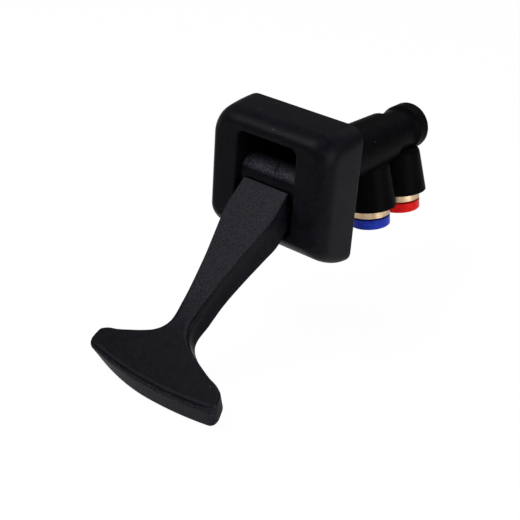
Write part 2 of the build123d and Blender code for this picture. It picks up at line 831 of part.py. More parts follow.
# Each port has a brass cartridge, its seals, a grip ring and a release collar
flange_end = boss_bottom + cartridge_flange_height
stop_end = cartridge_top + tube_stop_height
seal_end = tube_seal_top + tube_seal_height
grip_end = grip_top + grip_chamber_height
sleeve_bore = collar_sleeve_radius + running_gap
collar_end_distance = collar_flange_top + collar_flange_height
for port, port_y in (("delivery", delivery_y), ("supply", supply_y)):
    with BuildPart() as cartridge:
        port_turned(
            port_y,
            [
                (tube_stop_bore, cartridge_top),
                (cartridge_radius, cartridge_top),
                (cartridge_radius, cartridge_groove),
                (cartridge_radius - seal_groove_depth / 2, cartridge_groove),
                (cartridge_radius - seal_groove_depth / 2, cartridge_groove + seal_groove_width / 2),
                (cartridge_radius, cartridge_groove + seal_groove_width / 2),
                (cartridge_radius, boss_bottom + screw_gap),
                (cartridge_flange_radius, boss_bottom + screw_gap),
                (cartridge_flange_radius, flange_end),
                (sleeve_bore, flange_end),
                (sleeve_bore, grip_end),
                (grip_chamber, grip_end),
                (grip_chamber, grip_top),
                (tube_bore, grip_top),
                (tube_bore, seal_end),
                (tube_seal_outer, seal_end),
                (tube_seal_outer, tube_seal_top),
                (tube_bore, tube_seal_top),
                (tube_bore, stop_end),
                (tube_stop_bore, stop_end),
            ],
        )
    write(cartridge, f"{port}_cartridge")

    with BuildPart() as cartridge_seal:
        groove_middle = cartridge_groove + seal_groove_width / 4
        seal_radius = seal_groove_width / 4 - seal_gap
        with BuildSketch(port_profile(port_y)):
            with Locations((cartridge_radius - seal_groove_depth / 4, groove_middle)):
                Circle(seal_radius)
        revolve(axis=Axis((0, port_y, 0), port_down))
    write(cartridge_seal, f"{port}_cartridge_seal")

    with BuildPart() as tube_seal:
        with BuildSketch(port_profile(port_y)):
            seal_middle = (tube_seal_outer + tube_seal_inner) / 2
            with Locations((seal_middle, (tube_seal_top + seal_end) / 2)):
                Circle((tube_seal_outer - tube_seal_inner) / 2 - seal_gap)
        revolve(axis=Axis((0, port_y, 0), port_down))
    write(tube_seal, f"{port}_tube_seal")

    with BuildPart() as grip_ring:
        with BuildSketch(port_plane(port_y, grip_top + seal_gap)):
            Circle(grip_chamber - seal_gap)
            Circle(grip_bore, mode=Mode.SUBTRACT)
            with PolarLocations(grip_bore, grip_teeth):
                Rectangle(2 * grip_slot_length, grip_slot_width, mode=Mode.SUBTRACT)
        extrude(amount=grip_thickness)
    write(grip_ring, f"{port}_grip_ring")

    with BuildPart() as release_collar:
        port_turned(
            port_y,
            [
                (collar_bore, collar_sleeve_top),
                (collar_sleeve_radius, collar_sleeve_top),
                (collar_sleeve_radius, collar_flange_top),
                (collar_flange_radius, collar_flange_top),
                (collar_flange_radius, collar_end_distance - collar_edge),
                (collar_flange_radius - collar_edge, collar_end_distance),
                (collar_bore + collar_edge, collar_end_distance),
                (collar_bore, collar_end_distance - collar_edge),
            ],
        )
    write(release_collar, f"{port}_release_collar")
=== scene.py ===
import json
import math

import bmesh
import bpy
import numpy as np
from mathutils import Matrix, Vector


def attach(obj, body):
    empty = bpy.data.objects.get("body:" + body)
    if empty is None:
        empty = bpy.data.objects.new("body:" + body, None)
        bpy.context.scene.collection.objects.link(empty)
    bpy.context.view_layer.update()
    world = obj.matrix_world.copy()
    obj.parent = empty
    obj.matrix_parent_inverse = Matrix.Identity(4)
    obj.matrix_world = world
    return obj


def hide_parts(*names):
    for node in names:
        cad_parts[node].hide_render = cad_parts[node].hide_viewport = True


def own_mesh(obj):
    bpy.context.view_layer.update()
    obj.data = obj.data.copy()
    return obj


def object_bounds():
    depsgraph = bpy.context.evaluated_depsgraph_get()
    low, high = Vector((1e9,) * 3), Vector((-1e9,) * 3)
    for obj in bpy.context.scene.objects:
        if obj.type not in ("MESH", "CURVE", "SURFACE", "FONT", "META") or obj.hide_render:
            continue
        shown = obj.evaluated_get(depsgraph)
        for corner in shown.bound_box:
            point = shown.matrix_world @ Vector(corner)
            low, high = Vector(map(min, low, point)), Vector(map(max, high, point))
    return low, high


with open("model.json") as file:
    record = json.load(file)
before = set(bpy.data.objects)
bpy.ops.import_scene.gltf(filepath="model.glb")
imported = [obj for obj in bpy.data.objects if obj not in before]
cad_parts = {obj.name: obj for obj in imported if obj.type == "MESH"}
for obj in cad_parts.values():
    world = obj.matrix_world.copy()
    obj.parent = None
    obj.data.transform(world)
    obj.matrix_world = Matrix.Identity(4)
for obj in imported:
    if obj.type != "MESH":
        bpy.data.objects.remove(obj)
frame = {"nodes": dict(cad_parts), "record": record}
cadBox = [[float(value) for value in corner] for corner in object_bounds()]
slotOfNode = {part["node"]: part["material_slot"] for part in frame["record"]["subparts"]}
print("frame loaded:", len(frame["nodes"]), "nodes")


class Wire:
    # A socket that can be used in sums: an expression on wires adds its Math nodes
    def __init__(self, graph, socket):
        self.graph = graph
        self.socket = socket

    def worked(self, operation, *values):
        return self.graph.node("ShaderNodeMath", {"operation": operation}, dict(enumerate(values)))

    def __add__(self, other):
        return self.worked("ADD", self, other)

    def __radd__(self, other):
        return self.worked("ADD", other, self)

    def __sub__(self, other):
        return self.worked("SUBTRACT", self, other)

    def __rsub__(self, other):
        return self.worked("SUBTRACT", other, self)

    def __mul__(self, other):
        return self.worked("MULTIPLY", self, other)

    def __rmul__(self, other):
        return self.worked("MULTIPLY", other, self)

    def __truediv__(self, other):
        return self.worked("DIVIDE", self, other)

    def __pow__(self, other):
        return self.worked("POWER", self, other)


class Graph:
    # One material's nodes
    def __init__(self, name):
        self.material = bpy.data.materials.new(name)
        self.material.use_nodes = True
        self.tree = self.material.node_tree
        self.shader = self.tree.nodes["Principled BSDF"]

    def node(self, kind, settings=None, inputs=None, output=0):
        made = self.tree.nodes.new(kind)
        for key, value in (settings or {}).items():
            if key == "stops":
                ramp = made.color_ramp
                ramp.elements[0].position, ramp.elements[1].position = value[0][0], value[-1][0]
                ramp.elements[0].color, ramp.elements[1].color = value[0][1], value[-1][1]
            else:
                setattr(made, key, value)
        for key, value in (inputs or {}).items():
            self.feed(made.inputs[key], value)
        return Wire(self, made.outputs[output])

    def feed(self, socket, value):
        if isinstance(value, Wire):
            self.tree.links.new(value.socket, socket)
        else:
            socket.default_value = value

    def place(self, scale=(1.0, 1.0, 1.0), turn=(0.0, 0.0, 0.0)):
        spot = self.node("ShaderNodeTexCoord", output=3)
        return self.node("ShaderNodeMapping", {}, {"Vector": spot, "Scale": scale, "Rotation": turn})

    def noise(self, spot, scale, detail=4.0, roughness=0.55):
        return self.node("ShaderNodeTexNoise", {}, {"Vector": spot, "Scale": scale, "Detail": detail,
                                                    "Roughness": roughness})

    def cells(self, spot, scale):
        return self.node("ShaderNodeTexVoronoi", {"feature": "F1"}, {"Vector": spot, "Scale": scale})

    def ranged(self, value, low, high, newLow=0.0, newHigh=1.0):
        return self.node("ShaderNodeMapRange", {"interpolation_type": "SMOOTHSTEP"},
                         {"Value": value, "From Min": low, "From Max": high, "To Min": newLow, "To Max": newHigh})

    def blend(self, share, first, second):
        mixed = self.tree.nodes.new("ShaderNodeMix")
        mixed.data_type = "RGBA"
        self.feed(mixed.inputs[0], share)
        self.feed(mixed.inputs[6], first)
        self.feed(mixed.inputs[7], second)
        return Wire(self, mixed.outputs[2])

    def share(self, name):
        return self.node("ShaderNodeAttribute", {"attribute_type": "GEOMETRY", "attribute_name": name}, output=2)

    def bumped(self, height, distance, strength=1.0, under=None):
        links = {"Height": height, "Distance": distance, "Strength": strength}
        if under is not None:
            links["Normal"] = under
        return self.node("ShaderNodeBump", {}, links)

    def finish(self, **sockets):
        names = {"colour": "Base Color", "roughness": "Roughness", "metallic": "Metallic", "normal": "Normal",
                 "ior": "IOR", "coat": "Coat Weight", "coatRoughness": "Coat Roughness",
                 "specular": "Specular IOR Level", "sheen": "Sheen Weight", "sheenRoughness": "Sheen Roughness"}
        for key, value in sockets.items():
            self.feed(self.shader.inputs[names[key]], value)
        return self.material


def rgba(red, green, blue):
    return (red, green, blue, 1.0)


# Moulded plastic: fine spark-eroded grain, slow shade changes, rubbed patches and a few dust specks
plasticLooks = {
    "black_moulding": {"dark": rgba(0.0016, 0.0015, 0.0026), "light": rgba(0.0040, 0.0037, 0.0058),
                       "grainSize": 0.00034, "grainDepth": 0.000036, "rough": 0.40, "roughSpread": 0.12,
                       "gloss": 0.034},
    "black_body": {"dark": rgba(0.0011, 0.0011, 0.0014), "light": rgba(0.0023, 0.0023, 0.0029),
                   "grainSize": 0.00022, "grainDepth": 0.000012, "rough": 0.40, "roughSpread": 0.10,
                   "gloss": 0.010},
}


def mouldedPlastic(name, looks, grainShare=None):
    graph = Graph(name)
    spot = graph.place()
    fine = graph.cells(spot, 1.0 / looks["grainSize"])
    medium = graph.noise(spot, 0.45 / looks["grainSize"], 3.0)
    slow = graph.noise(spot, 55.0, 3.0)
    cloud = graph.noise(spot, 240.0, 5.0, 0.6)
    rubbed = graph.ranged(slow * 0.6 + cloud * 0.4, 0.46, 0.64)
    specks = graph.ranged(graph.noise(spot, 900.0, 1.0), 0.792, 0.815)
    shade = graph.ranged(medium * 0.5 + cloud * 0.5, 0.34, 0.66)
    colour = graph.blend(shade, looks["dark"], looks["light"])
    colour = graph.blend(specks * 0.35, colour, rgba(0.16, 0.15, 0.14))
    height = medium * 0.7 + (1.0 - fine) * 0.5
    roughness = looks["rough"] + (cloud - 0.5) * looks["roughSpread"] - rubbed * 0.05 + shade * 0.04
    # A share attribute bumps the surface and blends it toward a paler tint: the grain's own pale flecks, and on the
    # lever's hub band and end face painted light as well
    if grainShare is not None:
        share = graph.share(grainShare)
        height = height * (0.16 + share * 0.84)
        flecks = graph.ranged(graph.noise(spot, 1.1 / looks["grainSize"], 2.0), 0.42, 0.59)
        colour = graph.blend(share * (0.12 + flecks * 0.88), colour, looks["grainAndPaintedLightTint"])
        roughness = roughness + share * 0.04
    normal = graph.bumped(height, looks["grainDepth"])
    normal = graph.bumped(slow, 0.00035, 0.35, normal)
    return graph.finish(colour=colour, roughness=roughness, normal=normal, ior=1.5, specular=looks["gloss"])


# Turned metal: lathe rings square to an axis, with a dull skin in patches
metalLooks = {
    "brass": {"dark": rgba(0.34, 0.235, 0.135), "light": rgba(0.60, 0.450, 0.290), "rough": 0.32,
              "ringSize": 0.00009, "turn": (0.0, math.radians(10.0), 0.0), "along": 2},
    "bronze": {"dark": rgba(0.30, 0.17, 0.075), "light": rgba(0.52, 0.34, 0.17), "rough": 0.46,
               "ringSize": 0.00016, "turn": (0.0, 0.0, 0.0), "along": 0},
    "steel": {"dark": rgba(0.40, 0.41, 0.43), "light": rgba(0.66, 0.67, 0.69), "rough": 0.30,
              "ringSize": 0.00014, "turn": (0.0, 0.0, 0.0), "along": 0},
    "spring_steel": {"dark": rgba(0.24, 0.24, 0.25), "light": rgba(0.46, 0.46, 0.48), "rough": 0.36,
                     "ringSize": 0.00020, "turn": (0.0, 0.0, 0.0), "along": 1},
    "aluminium": {"dark": rgba(0.58, 0.59, 0.61), "light": rgba(0.80, 0.81, 0.83), "rough": 0.34,
                  "ringSize": 0.00012, "turn": (0.0, 0.0, 0.0), "along": 1},
}


def turnedMetal(name, looks):
    graph = Graph(name)
    stretch = [30.0, 30.0, 30.0]
    stretch[looks["along"]] = 1.0 / looks["ringSize"]
    rings = graph.noise(graph.place(tuple(stretch), looks["turn"]), 1.0, 2.0)
    spot = graph.place()
    patches = graph.noise(spot, 310.0, 5.0, 0.62)
    pits = graph.ranged(graph.noise(spot, 2600.0, 2.0), 0.62, 0.74)
    shade = graph.ranged(patches * 0.55 + rings * 0.45, 0.36, 0.64)
    colour = graph.blend(shade, looks["dark"], looks["light"])
    roughness = looks["rough"] + (patches - 0.5) * 0.22 + pits * 0.12
    normal = graph.bumped(rings - pits * 0.4, 0.000018)
    return graph.finish(colour=colour, roughness=roughness, metallic=1.0, normal=normal)


# Bright collars and pale engineering plastic: smooth, with flow marks and faint scuffs
glossLooks = {
    "red_collar": {"dark": rgba(0.40, 0.0034, 0.0020), "light": rgba(0.53, 0.0060, 0.0034), "rough": 0.34},
    "blue_collar": {"dark": rgba(0.0060, 0.0170, 0.210), "light": rgba(0.0105, 0.0290, 0.300), "rough": 0.34},
    "acetal": {"dark": rgba(0.62, 0.61, 0.57), "light": rgba(0.76, 0.75, 0.71), "rough": 0.40},
}


def smoothPlastic(name, looks):
    graph = Graph(name)
    flow = graph.noise(graph.place((60.0, 60.0, 520.0), (0.0, math.radians(10.0), 0.0)), 1.0, 4.0)
    spot = graph.place()
    patches = graph.noise(spot, 420.0, 4.0)
    scuffs = graph.ranged(graph.noise(graph.place((2400.0, 300.0, 900.0), (0.3, 0.5, 0.2)), 1.0, 2.0), 0.63, 0.72)
    shade = graph.ranged(flow * 0.5 + patches * 0.5, 0.36, 0.64)
    colour = graph.blend(shade, looks["dark"], looks["light"])
    roughness = looks["rough"] + (patches - 0.5) * 0.14 + scuffs * 0.10
    normal = graph.bumped(patches * 0.6 + graph.noise(spot, 5200.0, 2.0) * 0.4, 0.000016)
    return graph.finish(colour=colour, roughness=roughness, normal=normal, ior=1.47, specular=0.07)


rubberLooks = {"rubber": {"dark": rgba(0.008, 0.008, 0.008), "light": rgba(0.022, 0.022, 0.023), "rough": 0.62}}


def sealRubber(name, looks):
    graph = Graph(name)
    spot = graph.place()
    bloom = graph.noise(spot, 480.0, 5.0, 0.6)
    grain = graph.noise(spot, 6400.0, 2.0)
    colour = graph.blend(graph.ranged(bloom, 0.38, 0.62), looks["dark"], looks["light"])
    roughness = looks["rough"] + (bloom - 0.5) * 0.2
    return graph.finish(colour=colour, roughness=roughness, normal=graph.bumped(grain, 0.000014),
                        sheen=0.08, sheenRoughness=0.6)


finishes = {name: mouldedPlastic(name, looks) for name, looks in plasticLooks.items()}
finishes.update({name: turnedMetal(name, looks) for name, looks in metalLooks.items()})
finishes.update({name: smoothPlastic(name, looks) for name, looks in glossLooks.items()})
finishes.update({name: sealRubber(name, looks) for name, looks in rubberLooks.items()})
for nodeName, solid in frame["nodes"].items():
    finish = finishes["black_body" if nodeName == "plunger" else slotOfNode[nodeName]]
    if solid.material_slots:
        for place in solid.material_slots:
            place.material = finish
    else:
        solid.data.materials.append(finish)
print("finishes:", len(finishes))


def gridPiece(name, sheets, finish, sharpAngle):
    # Sheets are arrays of rows x columns x 3 that close round their columns and meet themselves at their ends
    points, faces, shares, start = [], [], [], 0
    for sheet, share in sheets:
        rows, columns = sheet.shape[:2]
        index = start + np.arange(rows * columns).reshape(rows, columns)
        after = np.roll(index, -1, axis=1)
        faces.append(np.stack([index[:-1], index[1:], after[1:], after[:-1]], axis=-1).reshape(-1, 4))
        points.append(sheet.reshape(-1, 3))
        shares.append(share.reshape(-1))
        start += rows * columns
    mesh = bpy.data.meshes.new(name)
    mesh.from_pydata(np.concatenate(points).tolist(), [], np.concatenate(faces).tolist())
    attribute = mesh.attributes.new("grainShare", "FLOAT", "POINT")
    attribute.data.foreach_set("value", np.concatenate(shares).astype(np.float32))
    shape = bmesh.new()
    shape.from_mesh(mesh)
    bmesh.ops.remove_doubles(shape, verts=shape.verts, dist=2e-6)
    bmesh.ops.dissolve_degenerate(shape, edges=shape.edges, dist=1e-6)
    bmesh.ops.recalc_face_normals(shape, faces=shape.faces)
    shape.to_mesh(mesh)
    shape.free()
    mesh.shade_smooth()
    mesh.set_sharp_from_angle(angle=math.radians(sharpAngle))
    mesh.materials.append(finish)
    piece = bpy.data.objects.new(name, mesh)
    bpy.context.scene.collection.objects.link(piece)
    return piece


def eased(value, low, high):
    part = np.clip((value - low) / (high - low), 0.0, 1.0)
    return part * part * (3.0 - 2.0 * part)


# Lever sizes in millimetres: station runs along the arm from the hinge, level is above the hinge
leverLooks = {
    "hub": (0.0, -12.7, 3.0), "lean": 42.2, "topLevel": 5.1,
    "stations": [1.5, 8.4, 17.6, 24.0, 30.0, 42.0, 54.0, 62.0],
    "halfWidths": [11.0, 10.8, 10.9, 10.1, 8.9, 6.6, 5.2, 4.85],
    "depths": [11.4, 11.5, 11.4, 12.8, 12.4, 11.4, 9.9, 9.3],
    "webLevel": 1.8, "stepStation": 6.1, "sideFlare": 1.5, "sideHollow": 0.6,
    "topRounds": (0.7, 2.2, 1.0), "lowRounds": (2.2, 1.9, 1.0),
    "headEdge": [(4.85, 62.0), (4.75, 65.2), (5.15, 68.2), (6.5, 70.9), (9.3, 73.7), (13.0, 75.8), (18.0, 78.0),
                 (23.2, 80.0), (28.0, 81.5), (30.1, 82.9), (30.9, 85.2), (31.3, 87.4)],
    "tip": (31.3, 90.4), "tipRound": 3.0, "frontStation": 93.1, "frontRound": 1.0, "headDepth": 7.2,
    "slants": (0.6, 3.8, 4.0), "lowInset": 1.8, "beadHeight": 0.24, "beadPlace": 0.7, "beadWidth": 0.5,
    "barrelRadius": 7.1, "barrelHalf": 13.4, "boreRadius": 3.47, "boreDepth": 6.5,
    "pinRadius": 2.46, "camBase": 3.9, "camRise": 2.6, "camHalf": 4.7, "grainEdge": 152.0,
    "gateMark": (1.6, 100.0, 138.0),
}


def fromLever(across, station, level):
    # World place in metres of a point given across, along and above the arm
    lean = math.radians(leverLooks["lean"])
    y = leverLooks["hub"][1] - station * math.cos(lean) - level * math.sin(lean)
    z = leverLooks["hub"][2] - station * math.sin(lean) + level * math.cos(lean)
    return np.stack([across + 0.0 * station, y, z], axis=-1) * 0.001


def curveThrough(value, knots, heights):
    # Cubic through knots, with slopes from the neighbours on both sides
    knots, heights = np.asarray(knots, float), np.asarray(heights, float)
    slopes = np.gradient(heights, knots)
    step = np.clip(np.searchsorted(knots, value) - 1, 0, len(knots) - 2)
    width = knots[step + 1] - knots[step]
    part = np.clip((value - knots[step]) / width, 0.0, 1.0)
    return ((1 + 2 * part) * (1 - part) ** 2 * heights[step] + part * (1 - part) ** 2 * width * slopes[step]
            + part ** 2 * (3 - 2 * part) * heights[step + 1] + part ** 2 * (part - 1) * width * slopes[step + 1])


def alongPath(points, share):
    # Smooth path through points, at shares of its length
    points = np.asarray(points, float)
    length = np.concatenate([[0.0], np.cumsum(np.linalg.norm(np.diff(points, axis=0), axis=1))])
    return [curveThrough(share * length[-1], length, points[:, axis]) for axis in (0, 1)]


def sectionLoop(half, flare, high, low, highRound, lowRound):
    # Rows of one section: a trapezoid whose corners are quadratic curves; the third value is the corner's turn
    def corner(before, point, after, part):
        return (1 - part) ** 2 * before[:, None] + 2 * part * (1 - part) * point[:, None] + part ** 2 * after[:, None]

    def run(first, last, count):
        part = np.linspace(0, 1, count + 2)[None, 1:-1, None]
        part = part - 0.8 * np.sin(2 * math.pi * part) / (2 * math.pi)          # closer columns near the corners
        return first[:, None] * (1 - part) + last[:, None] * part

    def toward(point, other, distance):
        step = other - point
        return point + step / np.linalg.norm(step, axis=-1, keepdims=True) * distance[:, None]

    corners = [np.stack([-half, high], -1), np.stack([half, high], -1),
               np.stack([half + flare, low], -1), np.stack([-half - flare, low], -1)]
    rounds = [highRound, highRound, lowRound, lowRound]
    turn = np.linspace(0, 1, 9)
    parts, turns = [], []
    for k in range(4):
        point, before, after = corners[k], corners[k - 1], corners[(k + 1) % 4]
        level = k % 2 == 0          # the run after this corner is a top or bottom face
        parts.append(corner(toward(point, before, rounds[k]), point, toward(point, after, rounds[k]),
                            turn[None, :, None]))
        turns.append(1 - turn if level else turn)
        parts.append(run(toward(point, after, rounds[k]), toward(after, point, rounds[(k + 1) % 4]),
                         47 if level else 9))
        turns.append(np.zeros(47) if level else np.ones(9))
    loop = np.concatenate(parts, axis=1)
    return loop[..., 0], loop[..., 1], np.concatenate(turns)


def armSheet():
    # A closed loop of rounded trapezoid section is carried along the arm and then fans out over the head: each
    # row bows from the side outline to the middle, the last one is the front outline drawn in by the front
    # round, and the closing rows turn over that round and down the end face to its middle line
    looks = leverLooks
    top = looks["topLevel"]
    armRows = np.concatenate([[1.5, 3.0, 5.0], np.linspace(5.9, 6.5, 9), np.linspace(7.0, 61.5, 104)])
    fanRows = np.linspace(0.0, 1.0, 120)
    edgeX, edgeS = alongPath(looks["headEdge"], fanRows)
    frontInset = looks["frontStation"] - looks["frontRound"]
    neck = looks["headEdge"][0][1]
    half = np.concatenate([curveThrough(armRows, looks["stations"], looks["halfWidths"]), edgeX])
    edge = np.concatenate([armRows, edgeS])
    middle = np.concatenate([armRows, neck + (frontInset - neck) * fanRows])
    fan = np.concatenate([0.0 * armRows, fanRows])
    neckDepth = looks["depths"][-1] - looks["headDepth"]
    shallow = eased(fan, 0.0, 0.42)
    depth = np.concatenate([curveThrough(armRows, looks["stations"], looks["depths"]),
                            looks["headDepth"] + neckDepth + 0.0 * fanRows]) - neckDepth * shallow
    high = np.where(edge < 40, looks["webLevel"] + (top - looks["webLevel"])
                    * eased(edge, looks["stepStation"] - 0.15, looks["stepStation"] + 0.2), top)
    low = np.minimum(top - depth, high - 1.0)
    flare = looks["sideFlare"] * (1 - eased(fan, 0.0, 0.3)) - looks["lowInset"] * eased(fan, 0.1, 0.45) \
        * (1 - eased(fan, 0.55, 0.9))

    def softened(rounds):
        armRound, neckRound, headRound = rounds
        return armRound + (neckRound - armRound) * eased(edge, 44.0, 66.0) \
            + (headRound - neckRound) * eased(fan, 0.12, 0.6)

    across, height, turn = sectionLoop(half, flare, high, low, softened(looks["topRounds"]),
                                       softened(looks["lowRounds"]))
    down = np.clip((high[:, None] - height) / (high - low)[:, None], 0.0, 1.0)
    hollow = looks["sideHollow"] * (1 - eased(fan, 0.0, 0.5)) * eased(edge, 14.0, 26.0)
    across = across - np.sign(across) * hollow[:, None] * np.sin(math.pi * down) ** 1.5

    # Stations of each row: a parabola, turning into the front outline with its rounded tips
    upper, onFace = down < 0.5, turn < 0.01
    topHalf = np.abs(across[:, onFace & upper[-1]]).max(axis=1)[:, None]
    lowHalf = np.abs(across[:, onFace & ~upper[-1]]).max(axis=1)[:, None]
    share = np.clip(np.abs(across) / np.where(upper, topHalf, lowHalf), 0.0, 1.0)
    tipX, tipS = looks["tip"][0] - looks["frontRound"], looks["tip"][1] - looks["frontRound"]
    tipRound = looks["tipRound"] - looks["frontRound"]
    drop = np.clip((share * tipX - (tipX - tipRound)) / tipRound, 0.0, 1.0)
    front = tipRound * np.sqrt(1 - drop ** 2) + (frontInset - tipS) * (1 - share ** 2)
    turnIn = eased(fan, 0.55, 1.0)[:, None]
    bowed = (1 - share ** 2) * (1 - turnIn) + front / (tipRound + frontInset - tipS) * turnIn
    station = edge[:, None] + (middle - edge)[:, None] * bowed

    # The arm's keel runs on under the head and fades, and a small bead follows the top front edge
    keel = neckDepth * (shallow - eased(middle, neck, neck + 24.0)) * (fan > 0)
    height = height - keel[:, None] * np.exp(-(across / 5.2) ** 4) * eased(down, 0.75, 1.0)
    bead = np.exp(-((station[-1] - station - looks["beadPlace"]) / looks["beadWidth"]) ** 2)
    bead = bead * eased(fan, 0.8, 0.93)[:, None] * (1 - eased(np.abs(across), 26.5, 29.8)) * (down < 0.02)
    share = np.where(down < 0.02, 0.36, 0.05) * (1 - 0.9 * eased(middle, 52.0, 74.0))[:, None] + 0.0 * across

    # Closing rows: every column moves out along the outline's normal over the front round
    lastX, lastS, lastH = across[-1], station[-1], height[-1]
    tangentX, tangentS = np.gradient(lastX), np.gradient(lastS)
    flip = np.where(lastH > top - depth[-1] / 2, 1.0, -1.0)
    normalX, normalS = -tangentS * flip, tangentX * flip
    size = np.where(onFace, np.hypot(normalX, normalS), 1.0)
    normalX = np.where(onFace, normalX / np.maximum(size, 1e-9), np.sign(lastX))
    normalS = np.where(onFace, normalS / np.maximum(size, 1e-9), 0.0)
    highestX = np.abs(lastX)[onFace].max()
    nearTip = eased(np.abs(lastX), highestX - 0.25, highestX + 0.01)
    normalX, normalS = normalX * (1 - nearTip) + np.sign(lastX) * nearTip, normalS * (1 - nearTip)
    rowsX, rowsS, rowsH = [], [], []
    rounding, mid = looks["frontRound"], top - depth[-1] / 2
    for part in np.linspace(0.125, 1.0, 8):
        reached = np.maximum(turn, part)
        outward = rounding * ((1 - turn) ** 2 - (1 - reached) ** 2)
        sink = rounding * (reached ** 2 - turn ** 2)
        rowsX.append(lastX + normalX * outward)
        rowsS.append(lastS + normalS * outward)
        rowsH.append(lastH - flip * sink)
    for part in np.linspace(0.0, 1.0, 9)[1:]:
        rowsX.append(rowsX[7])
        rowsS.append(rowsS[7])
        rowsH.append(mid + (rowsH[7] - mid) * (1 - part))
    height = height + looks["beadHeight"] * bead
    startH = high[0] - 4.0
    across = np.concatenate([across[:1], across, np.stack(rowsX)])
    station = np.concatenate([station[:1], station, np.stack(rowsS)])
    height = np.concatenate([startH + 0.0 * height[:1], height, np.stack(rowsH)])
    # The closing rows over the front round and down the end face get a higher share than the top: a painted
    # reflection of the pale floor, with a little grain bump
    share = np.concatenate([share[:1], share, 0.42 + 0.0 * np.stack(rowsX)])
    fan = np.concatenate([fan[:1], fan, np.ones(len(rowsX))])

    # The end face leans: lower levels stand further out
    side = across / looks["tip"][0]
    leftSlant, midSlant, rightSlant = looks["slants"]
    slant = midSlant * (1 - side ** 2) + np.where(side < 0, leftSlant, rightSlant) * side ** 2
    lowShare = np.clip((top - height) / looks["headDepth"], 0.0, 1.0)
    station = station + slant * lowShare * eased(fan, 0.25, 1.0)[:, None]
    return fromLever(across, station, height), share


def barrelSheet():
    # Turned profile round the hinge, whose outside radius depends on the turn where the cam's notch is cut
    looks = leverLooks
    outside, half = looks["barrelRadius"], looks["barrelHalf"]
    edge = 0.5
    rounding = np.linspace(0, math.pi / 2, 6)
    side = np.concatenate([np.linspace(0, looks["camHalf"] - 0.02, 14), [looks["camHalf"] + 0.02],
                           np.linspace(looks["camHalf"] + 0.5, half - edge, 16)])
    rightX = np.concatenate([side, (half - edge + edge * np.sin(rounding))[1:]])
    rightR = np.concatenate([outside + 0 * side, (outside - edge + edge * np.cos(rounding))[1:]])
    rightX = np.concatenate([rightX, [half, half - 0.3, half - looks["boreDepth"], half - looks["boreDepth"], 0.0]])
    rightR = np.concatenate([rightR, [looks["boreRadius"] + 0.3, looks["boreRadius"], looks["boreRadius"],
                                      looks["pinRadius"], looks["pinRadius"]]])
    profileX = np.concatenate([rightX, -rightX[::-1][1:-1]])
    profileR = np.concatenate([rightR, rightR[::-1][1:-1]])
    degrees = np.concatenate([np.linspace(-17.9, 81.3, 60), np.linspace(81.5, 341.9, 190)])
    turn = np.radians(degrees)
    roll = np.linspace(0, math.radians(60.0), 90)
    reach = looks["camBase"] + looks["camRise"] * roll
    camY = reach * np.cos(roll) - looks["camRise"] * np.sin(roll)
    camZ = reach * np.sin(roll) + looks["camRise"] * np.cos(roll)
    flat = np.linspace(-1.25, looks["camRise"], 20)
    camY, camZ = np.concatenate([looks["camBase"] + 0 * flat, camY]), np.concatenate([flat, camZ])
    camR = np.interp(degrees, np.degrees(np.arctan2(camZ, camY)), np.hypot(camY, camZ))
    notch = (degrees > -17.95) & (degrees < 81.4)
    x, radius = profileX[None, :] + 0 * turn[:, None], profileR[None, :] + 0 * turn[:, None]
    cut = notch[:, None] & (np.abs(x) < looks["camHalf"]) & (radius > looks["pinRadius"] + 0.5)
    radius = np.where(cut, np.minimum(camR, outside)[:, None], radius)
    markX, markStart, markEnd = looks["gateMark"]
    mark = np.exp(-((x - markX) / 0.32) ** 2) * eased(degrees, markStart, markStart + 3)[:, None] \
        * (1 - eased(degrees, markEnd - 3, markEnd))[:, None]
    radius = radius - 0.40 * mark * (radius > outside - 0.1)
    y = looks["hub"][1] + radius * np.cos(turn)[:, None]
    z = looks["hub"][2] + radius * np.sin(turn)[:, None]
    # The hub's top band gets the full paler tint: its own grain, plus painted light making up for the shade the
    # bezel's window casts on it
    share = (eased(degrees, 20, 40) * (1 - eased(degrees, looks["grainEdge"] - 9, looks["grainEdge"] + 7)))[:, None]
    share = share * (radius > outside - 0.6) * (1 - 0.9 * mark)
    sheet = np.stack([x, y, z], axis=-1) * 0.001
    sheet = np.concatenate([sheet, sheet[:1]])
    return sheet, np.concatenate([share, share[:1]])


# The lever's paler tint is its grain's flecks, and painted light where the share runs high on the hub band and end
# face
leverPlastic = dict(plasticLooks["black_moulding"], grainAndPaintedLightTint=rgba(0.0330, 0.0305, 0.0400), grainSize=0.00055,
                    grainDepth=0.00015)
leverFinish = mouldedPlastic("leverMoulding", leverPlastic, "grainShare")
leverSkin = gridPiece("leverSkin", [armSheet(), barrelSheet()], leverFinish, 38.0)
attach(leverSkin, "lever")
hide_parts("lever")
print("lever:", len(leverSkin.data.polygons), "faces")

# Bezel sizes in millimetres, each pair is at the rear face and at the front face
bezelLooks = {
    "depth": 22.2, "halfWidth": (28.0, 27.8), "top": (28.0, 27.0), "bottom": (-28.0, -18.4),
    "upperRound": (6.5, 10.5), "lowerRound": (4.6, 6.0), "fullness": 1.75,
    "softDepth": 7.8, "softInset": (4.4, 4.6, 2.4), "window": (13.9, 21.1, -14.9), "windowRound": 3.0,
    "windowEdge": 0.8, "pocketDepth": 5.3, "wall": 3.0, "pocketRounds": (6.0, 2.5), "rearEdge": 0.5,
    "bossPlace": 20.5, "bossRadius": 5.2, "bossHole": 2.8, "bossDepth": 9.0,
}


